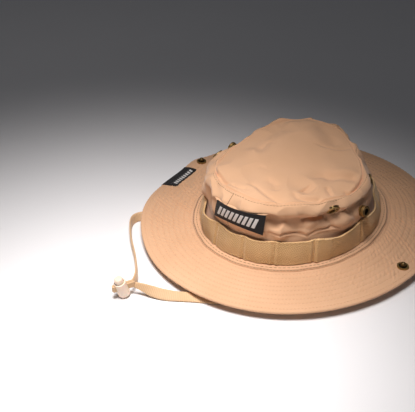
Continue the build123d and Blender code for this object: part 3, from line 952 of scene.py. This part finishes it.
# Dark stitches sunk in the ditch: their dark colour is painted shade.
t = even_angles(HEAD_X + DITCH, HEAD_Y + DITCH, 3.0)
in_ditch = at_height(t, DITCH + strip_wander(t), BRIM_TOP + 0.5)
in_ditch -= 0.1 * np.stack([np.cos(t), np.sin(t), 0 * t], -1)
strip_lines = [stitch_line(in_ditch, UP, 2.6, 0.55)]
# A dark stitch line just outside the band's foot: painted shadow of the band on the strip.
t = even_angles(HEAD_X + 2.5, HEAD_Y + 2.5, 4.0)
band_shadow_line = at_height(t, 2.5 + 0.15 * np.sin(t * 11), BRIM_TOP + 1.28)
strip_lines.append(stitch_line(band_shadow_line, UP, 3.3, 0.5))
strip_shade_stitches = merged("foot_strip_painted_shade", strip_lines, SEAM_PAINTED_SHADE)
place(strip_shade_stitches, "root", "thread")

# ---------------------------------------------------------------- foliage band

TACKS = [0, 33, 62, 90, 118, 147, 180, 213, 236, 263, 285, 304, 327, 360]
# How far each loop stands off the crown at its middle, and how much its top edge sags.
LOOPS = [3.4, 1.6, 1.2, 1.4, 1.2, 1.6, 1.6, 1.6, 4.4, 1.0, 0.8, 0.8, 3.0]
SAGS = [0.9, 0.4, 0.3, 0.4, 0.3, 0.4, 0.4, 0.4, 1.4, 0.5, 0.3, 0.4, 1.2]
BAND_LOW, BAND_HIGH = 12.5, 35.6


def band_shape(t):
    """Stand-off, sag of the top edge and nearness to a tack, at angles t."""
    degrees = np.degrees(t) % 360
    loop = np.clip(np.searchsorted(TACKS, degrees, "right") - 1, 0, len(LOOPS) - 1)
    tack = np.array(TACKS, float)
    share = (degrees - tack[loop]) / (tack[loop + 1] - tack[loop])
    arch = np.sin(np.pi * share)
    off = 0.75 + np.array(LOOPS)[loop] * arch**1.6
    sag = np.array(SAGS)[loop] * arch**2
    near = np.min([np.abs(degrees - a) for a in TACKS], axis=0) * 1.6
    return off, sag, near


def band_lean(t, z):
    """How far the crown's wall is outside the head oval at height z, below its wrinkles."""
    wall = [around(row, t) for row in CROWN_SHARE[:3]]
    low = wall[0] + (wall[1] - wall[0]) * np.clip((z - 8.8) / 13.2, 0, 1)
    share = low + (wall[2] - wall[1]) * np.clip((z - 22) / 13, 0, 1)
    return (share - 1) * WALL_RADIUS


BAND_COLS = 1150
band_t = np.linspace(0, TAU, BAND_COLS, endpoint=False)
off, sag, near = band_shape(band_t)
BAND_ROWS = 30
BAND_THICK = 1.15
profile = np.linspace(0, 1, BAND_ROWS)
pinch, ridge = bump_at(near, 0, 1.8), bump_at(near, 3.0, 1.4)
outer, inner = [], []
for v in profile:
    high = BAND_HIGH - sag + 0.3 * np.sin(band_t * 23 + 0.5) + 0.3 * bump_at(near, 0, 4.0)
    low = BAND_LOW + 0.25 * np.sin(band_t * 17) + 0.15 * np.sin(band_t * 41)
    z = low + (high - low) * v
    belly = 0.35 * np.sin(np.pi * v) + 0.5 * (v - 0.5) * np.sin(band_t * 9)
    folds = 0.5 * np.sin(band_t * 37 + 3.5 * v) * np.sin(band_t * 5 + 1) * (1 - pinch)
    slant = band_t * BAND_RADIUS + z * 0.3 + 0.5 * np.sin(band_t * 43)
    rib = 0.3 * np.abs(np.sin(np.pi * slant / 2.1))
    selvedge = 0.18 * (bump_at(v, 0.03, 0.03) + bump_at(v, 0.97, 0.03))
    base = band_lean(band_t, z) + 0.3 + off * (0.25 + 0.75 * v) + belly + folds * 0.6 - 0.1 * pinch
    inner.append(at_height(band_t, base, z))
    face = BAND_THICK + rib + selvedge - 0.55 * pinch + 0.55 * ridge
    outer.append(at_height(band_t, base + face, z))
outer = np.stack(outer)
band_v = np.concatenate([profile, profile[::-1], [0]]) * 23
uv = np.stack(np.meshgrid(np.append(band_t, TAU) * BAND_RADIUS, band_v), -1)
band = sweep("webbing_band", np.concatenate([outer, inner[::-1]]), WEBBING, uv, sharp=65)
place(band, "root", "webbing", "foliage_band")


def on_band(t, v, lift=0.0):
    """Points and normals on the band's outside, at angles t and shares v of its height."""
    col = np.asarray(t) % TAU / TAU * BAND_COLS
    c0 = np.floor(col).astype(int)
    u = (col - c0)[..., None]
    row = np.round(np.asarray(v) * (BAND_ROWS - 1)).astype(int)
    p = outer[row, c0 % BAND_COLS] * (1 - u) + outer[row, (c0 + 1) % BAND_COLS] * u
    n = oval_normal(t)
    return p + n * lift, n


tack_threads = []
zigzag = np.where(np.arange(14) % 2, 0.5, -0.5)[:, None] * UP
for degrees in TACKS[:-1]:
    points, n = on_band(np.full(14, math.radians(degrees)), np.linspace(0.08, 0.92, 14), 0.1)
    tack_threads.append(stitches(points, unit(np.cross(n, UP) + zigzag), n, 1.9, 0.42))
place(merged("band_bar_tacks", tack_threads, TACK_THREAD), "root", "thread", "band_tacks")

# The band's lapped end, thinner towards its cut edge.
lap_t, lap_v = np.meshgrid(np.radians(np.linspace(327.4, 337.2, 26)), profile)
lap_top = 1 - 0.35 * bump_at(np.arange(26), 25, 2.0)[:, None]
lap_points, lap_faces = slab(on_band(lap_t, lap_v, lap_top)[0], on_band(lap_t, lap_v, 0.06)[0])
lap_arc = np.arctan2(lap_points[:, 1], lap_points[:, 0]) * BAND_RADIUS
lap_uv = np.array([[lap_arc[i], lap_points[i][2]] for f in lap_faces for i in f])
lap = mesh_object("webbing_lap", lap_points, lap_faces, WEBBING, lap_uv)
place(lap, "root", "webbing")

# ---------------------------------------------------------------- labels


def solid_patch(surface, us, vs, low, high):
    """A thin solid over a rectangle of a surface(u, v, lift)."""
    u, v = np.meshgrid(us, vs)
    return slab(surface(u, v, high), surface(u, v, low))


def leaning_bars(surface, u0, u1, v0, v1, count, lean, low, high, fill=0.62):
    """Parallel leaning bars of satin stitch between two edges of a label."""
    pitch = (u1 - u0 - lean) / count
    bars = []
    for i in range(count):
        u, v = np.meshgrid(np.linspace(0, pitch * fill, 5), np.linspace(v0, v1, 14))
        u = u0 + i * pitch + u + lean * (v - v0) / (v1 - v0)
        crown_of_bar = np.sin(np.pi * np.linspace(0, 1, 5))[None] * 0.12
        ridges = 0.05 * (np.arange(14)[:, None] % 2)
        bars.append(slab(surface(u, v, high + crown_of_bar + ridges), surface(u, v, low)))
    return bars


label_s_low, label_s_high = 2.70, 4.93


def front_surface(u, v, lift):
    """The front label: u along it from the wearer's right, v up it, kept flatter than the wall."""
    lean = (4.2 * v - 2.4) * (1 - u) + 1.2 * v * u
    a = np.radians(LABEL_FROM + (LABEL_TO - LABEL_FROM) * u + lean)
    low = crown_smooth_at(a, np.full_like(a, label_s_low))
    high = crown_smooth_at(a, np.full_like(a, label_s_high))
    p = low + (high - low) * np.asarray(v)[..., None]
    n = np.stack([np.cos(a) / HEAD_X, np.sin(a) / HEAD_Y, 0 * a], -1)
    n /= np.linalg.norm(n, axis=-1, keepdims=True)
    p[..., 2] += 10.0 * u * (1 - u) * (1 - v) + 1.2 * (1 - u) * v
    proud = 0.9 + 0.45 * np.sin(np.pi * v) - 0.25 * bump_at(u, 0.5, 0.2) * v
    proud = proud + 1.3 * (2 * u - 1) ** 2 * (1 - v)
    return p + n * (proud + lift)[..., None]


def crown_smooth_at(a, s):
    """The unwrinkled crown at single angles and stations of any shape."""
    flat_a, flat_s = a.ravel(), s.ravel()
    k = np.clip(np.floor(flat_s).astype(int), 0, len(CROWN_Z) - 2)
    u = flat_s - k
    out = []
    for table in (CROWN_SHARE, CROWN_Z):
        rings = np.stack([around(row, flat_a) for row in table])
        pick = lambda j: rings[np.clip(k + j, 0, len(table) - 1), np.arange(len(flat_a))]
        w, b, c, d = pick(-1), pick(0), pick(1), pick(2)
        square, cube = 2 * w - 5 * b + 4 * c - d, 3 * b - w - 3 * c + d
        out.append(0.5 * (2 * b + (c - w) * u + square * u**2 + cube * u**3))
    share, z = out
    p = np.stack([HEAD_X * share * np.cos(flat_a), HEAD_Y * share * np.sin(flat_a), z], -1)
    return p.reshape(*a.shape, 3)


points, faces = solid_patch(front_surface, np.linspace(0, 1, 60), np.linspace(0, 1, 24), -0.5, 0.3)
uv = np.array([[points[i][0], points[i][2]] for f in faces for i in f])
front_label = mesh_object("front_label_cloth", points, faces, BLACK, uv, 50)
place(front_label, "root", "label_black", "front_label")
bars = leaning_bars(front_surface, 0.075, 0.925, 0.24, 0.78, 9, 0.045, 0.28, 0.52, 0.66)
place(merged("front_label_weave", bars, WHITE), "root", "label_white")
edge_threads = []
for v in (0.055, 0.945):
    u = np.linspace(0.02, 0.98, 34)
    p = front_surface(u, np.full(34, v), np.full(34, 0.33))
    n = np.stack([np.cos(np.radians(280)), np.sin(np.radians(280)), 0])
    edge_threads.append(stitch_line(p, np.tile(n, (34, 1)), 1.1, 0.3))
place(merged("front_label_stitches", edge_threads, BLACK), "root", "thread")

BRIM_LABEL_T = math.radians(193.3)
label_half = 20.0 / 147.0


def brim_label_surface(u, v, lift):
    """The brim label's top: u along the edge, v inward from the edge, in shares of 40 and 18 mm."""
    a = BRIM_LABEL_T + (u - 0.5) * 2 * label_half
    d = BRIM_WIDTH + 0.55 - 18.0 * v
    x, y = brim_xy(a, d)
    z = brim_sag(a, np.minimum(d, 57.0)) + 0.42 + lift
    return np.stack([x, y, z], -1)


u = np.linspace(0, 1, 44)
a = BRIM_LABEL_T + (u - 0.5) * 2 * label_half
section = []
for v in np.linspace(1, 0.04, 22):
    section.append(brim_label_surface(u, np.full_like(u, v), np.full_like(u, 0.42)))
for angle in np.radians(np.linspace(60, -60, 7)):
    x, y = brim_xy(a, 56.7 + 1.75 * math.cos(angle))
    section.append(np.stack([x, y, brim_sag(a, np.full_like(a, 57.0)) - 1.15 + 1.95 * math.sin(angle)], -1))
for d in np.linspace(56.2, 48.5, 8):
    x, y = brim_xy(a, d)
    section.append(np.stack([x, y, brim_sag(a, np.full_like(a, d)) - BRIM_THICK - 0.75], -1))
for d in np.linspace(48.5, 55.5, 5):
    x, y = brim_xy(a, d)
    section.append(np.stack([x, y, brim_sag(a, np.full_like(a, d)) - BRIM_THICK + 0.3], -1))
for v in np.linspace(0.12, 1, 8):
    section.append(brim_label_surface(u, np.full_like(u, v), np.full_like(u, -0.75)))
section = np.stack(section)[::-1]
closed = np.concatenate([section, section[:1]])
closed = np.concatenate([closed, closed[:, -1:]], 1)
label = sweep("brim_label_cloth", section, BLACK, closed[..., :2], wrap_cols=False, sharp=55)
place(label, "brim_flap_right", "label_black", "brim_label")
bars = leaning_bars(brim_label_surface, 0.07, 0.93, 0.60, 0.88, 9, 0.04, 0.4, 0.52, 0.6)
place(merged("brim_label_weave", bars, WHITE), "brim_flap_right", "label_white")
grey = [solid_patch(brim_label_surface, np.linspace(0.07, 0.93, 30), [0.50, 0.53], 0.4, 0.52)]
place(merged("brim_label_line", grey, GREY), "brim_flap_right", "label_white")
threads = []
for v in (0.05, 0.955):
    p = brim_label_surface(np.linspace(0.03, 0.97, 26), np.full(26, v), np.full(26, 0.46))
    threads.append(stitch_line(p, np.tile([0.0, 0.0, 1.0], (26, 1)), 1.1, 0.3))
place(merged("brim_label_stitches", threads, BLACK), "brim_flap_right", "thread")

# ---------------------------------------------------------------- vents and snaps


def turned(profile, centre, axis, steps=36):
    """Points and faces of a closed profile of (radius, height) turned about an axis."""
    helper = np.array([0.0, 0.0, 1.0]) if abs(axis[2]) < 0.9 else np.array([1.0, 0.0, 0.0])
    e1 = np.cross(helper, axis)
    e1 /= np.linalg.norm(e1)
    e2 = np.cross(axis, e1)
    a = np.linspace(0, TAU, steps, endpoint=False)
    r, h = np.array(profile, float).T
    spoke = np.cos(a)[None, :, None] * e1 + np.sin(a)[None, :, None] * e2
    points = centre + r[:, None, None] * spoke + h[:, None, None] * axis
    faces, _ = quads(len(profile), steps, True, True)
    return points.reshape(-1, 3), faces[:, ::-1].tolist()


EYELET = [
    (3.6, -1.6), (3.6, 0.2), (3.75, 0.75), (4.15, 1.05), (4.7, 1.12), (5.4, 0.95),
    (5.95, 0.6), (6.2, 0.2), (6.2, -0.15), (5.8, -0.25), (4.1, -0.2), (4.0, -1.6),
]
WASHER = [(4.05, -1.3), (4.05, -2.1), (4.5, -2.35), (5.6, -2.2), (6.1, -1.75), (6.1, -1.3), (5.0, -1.15)]
eyelets, washers, gauze = [], [], []
for degrees in (20.5, 159.5, 200.5, 338.0):
    a = math.radians(degrees)
    ring = a + np.array([-1, 0, 1, 0, 0]) * 4.5 / 90
    station = (4.6 if math.cos(math.radians(degrees)) > 0 else 4.05) + np.array([0, -1, 0, 1, 0]) * 0.45
    p, n = on_crown(ring, station)
    axis = np.cross(p[2] - p[0], p[3] - p[1])
    axis /= np.linalg.norm(axis)
    centre = p.mean(0) + axis * 0.35
    eyelets.append(turned(EYELET, centre, axis))
    washers.append(turned(WASHER, centre, axis))
    e1 = np.cross((0.0, 0.0, 1.0), axis)
    e1 /= np.linalg.norm(e1)
    e2 = np.cross(axis, e1)
    # A dark disc behind the gauze wires, in the gauze's blackened colour: painted shade, standing in for the
    # dim inside of the crown seen through the vent.
    painted_shade_disc = turned([(0.01, -0.75), (3.7, -0.75), (3.7, -0.95), (0.01, -0.95)], centre, axis)
    gauze.append(painted_shade_disc)
    for one, other in ((e1, e2), (e2, e1)):
        for off_mm in np.arange(-3.2, 3.3, 0.8):
            reach = math.sqrt(3.65**2 - off_mm**2)
            ends = np.array([-reach, reach])
            mid = centre + axis * -0.62 + other * off_mm
            u, v = np.meshgrid(ends, [-0.13, 0.13])
            top = mid + u[..., None] * one + v[..., None] * other + axis * 0.12
            gauze.append(slab(top, top - axis * 0.24))
place(merged("vent_rings", eyelets, VENT_BRASS, 40), "root", "vent_brass", "vent_eyelets")
place(merged("vent_backs", washers, VENT_BRASS, 40), "root", "vent_brass", "vent_washers")
place(merged("vent_gauze_and_shade_discs", gauze, GAUZE, 40), "root", "gauze", "vent_screens")
dress(
    ANTIQUE,
    "brim_snap_left", "brim_snap_right", "crown_snap_left", "crown_snap_right",
    "crown_snap_cap_left", "crown_snap_cap_right",
)

# ---------------------------------------------------------------- inside and underneath


def oval_sweep(name, section, material, slot, *replaced, lean=False):
    """A closed section of (outward, height) swept round the head oval, or up the leaning wall."""
    points = []
    for d, z in section:
        x, y = brim_xy(ring_t, d + (band_lean(ring_t, z) if lean else 0))
        points.append(np.stack([x, y, z + 0 * x], -1))
    obj = sweep(name, np.stack(points), material, ring_uv(len(section), 40))
    return place(obj, "root", slot, *replaced)


lining = [(-1.15, z) for z in (33.2, 34.0)] + [(-1.7, 34.3), (-2.2, 34.0)]
lining += [(-2.25, z) for z in np.linspace(31, 1.4, 14)] + [(-2.0, 0.45), (-1.5, 0.25), (-1.2, 0.7)]
lining += [(-1.12, z) for z in np.linspace(2, 31, 12)]
oval_sweep("sweatband_cloth", lining, LINING, "sweatband_cloth", "sweatband", lean=True)
binding = [
    (-0.9, 8.0), (-0.95, 1.0), (-0.7, 0.3), (0.2, 0.12), (1.4, 0.12),
    (2.2, 0.4), (2.45, 1.1), (2.5, 7.0), (2.3, 8.0),
]
oval_sweep("seam_binding_tape", binding, LINING, "hat_cloth", "brim_seam_binding")
threads = []
for z, d, way in ((5.2, 2.52, 1), (31.6, -2.27, -1), (3.0, -2.25, -1)):
    t = even_angles(HEAD_X + d, HEAD_Y + d, 3.2)
    x, y = brim_xy(t, d + (band_lean(t, z) if way < 0 else 0))
    n = way * np.stack([np.cos(t) / HEAD_X, np.sin(t) / HEAD_Y, 0 * t], -1)
    n /= np.linalg.norm(n, axis=1, keepdims=True)
    threads.append(stitch_line(np.stack([x, y, z + 0 * t], -1), n, 2.1, 0.4))
place(merged("inside_stitches", threads, THREAD), "root", "thread")

tape_s = np.linspace(6.05, 6.6, 8)
tape_t = crown_t[::3]
grid_t, grid_s = np.meshgrid(tape_t, tape_s)
near_side, _ = on_crown(grid_t, grid_s, np.full(grid_t.shape, -1.0))
far_side, _ = on_crown(grid_t, grid_s, np.full(grid_t.shape, -1.7))
tape = np.concatenate([near_side, far_side[::-1]])
u, v = np.meshgrid(np.append(tape_t, TAU) * 85, np.linspace(0, 14, 17))
place(sweep("tip_seam_tape", tape, LINING, np.stack([u, v], -1)), "root", "hat_cloth", "crown_seam_tape")

t = np.radians(np.linspace(80.5, 99.5, 26))
grid_t, grid_s = np.meshgrid(t, np.linspace(3.0, 4.7, 14))
outer_side, _ = on_crown(grid_t, grid_s, np.full(grid_t.shape, -1.0))
inner_side, _ = on_crown(grid_t, grid_s, np.full(grid_t.shape, -1.45))
place(merged("care_label", [slab(outer_side, inner_side)], WHITE), "root", "label_white", "inside_label")

for side, sign in (("left", 1), ("right", -1)):
    y = np.linspace(-8, 8, 22)
    u = np.linspace(0, 1, 22)
    tab = [
        (86.7, 1.3), (86.65, 4.0), (86.8, 7.0), (88.2, 7.3), (91.5, 7.35),
        (93.0, 7.0), (93.2, 4.2), (93.0, 1.5), (91.6, 1.05), (88.2, 1.0),
    ]
    points = []
    for x, z in tab:
        push = 0.25 * np.sin(np.pi * u) * (z > 2) - 0.2 * np.cos(TAU * u)
        points.append(np.stack([sign * (x + push * 0.5), y * (1 - 0.02 * (z < 2)), z + 0 * y], -1))
    points = np.stack(points)
    if sign > 0:
        points = points[::-1]
    uu, vv = np.meshgrid(np.append(y, 8.5), np.linspace(0, 26, 11))
    tab_obj = sweep(f"anchor_tab_{side}", points, HAT, np.stack([uu, vv], -1), wrap_cols=False, sharp=60)
    place(tab_obj, "root", "hat_cloth", f"cord_anchor_{side}")

# ---------------------------------------------------------------- floor and lights

floor = mesh_object(
    "floor",
    [(-3000, -3000, 0), (3000, -3000, 0), (3000, 3000, 0), (-3000, 3000, 0)],
    [[0, 1, 2, 3]],
    None,
)
paper = Nodes("paper")
at = paper.coords("Object")
shade = paper.mix(paper.noise(at, 9.0, 3.0), (0.86, 0.85, 0.86), (0.90, 0.89, 0.90))
paper.bump(paper.noise(at, 500.0, 3.0), 0.05, 0.0003)
floor.data.materials.clear()
floor.data.materials.append(paper.finish(shade, 0.65, Specular_IOR_Level=0.25))


def area_light(name, place_at, aim, size, power, colour, spread=180):
    light = bpy.data.lights.new(name, "AREA")
    light.shape = "DISK"
    light.size = size
    light.energy = power
    light.color = colour
    light.spread = math.radians(spread)
    obj = bpy.data.objects.new(name, light)
    obj.location = place_at
    obj.rotation_euler = (Vector(aim) - Vector(place_at)).to_track_quat("-Z", "Y").to_euler()
    bpy.context.scene.collection.objects.link(obj)


area_light("key", (0.053, -0.228, 0.60), (0.026, -0.238, 0.0), 0.26, 1.04, (1.0, 0.965, 0.95), 72)
area_light("fill", (-0.55, -0.10, 0.80), (0.0, 0.0, 0.03), 0.60, 0.35, (1.0, 0.97, 0.96))
world = bpy.data.worlds.new("studio")
world.use_nodes = True
world.node_tree.nodes["Background"].inputs["Color"].default_value = (0.80, 0.82, 0.88, 1.0)
world.node_tree.nodes["Background"].inputs["Strength"].default_value = 0.065
bpy.context.scene.world = world
bpy.context.scene.view_settings.view_transform = "Standard"
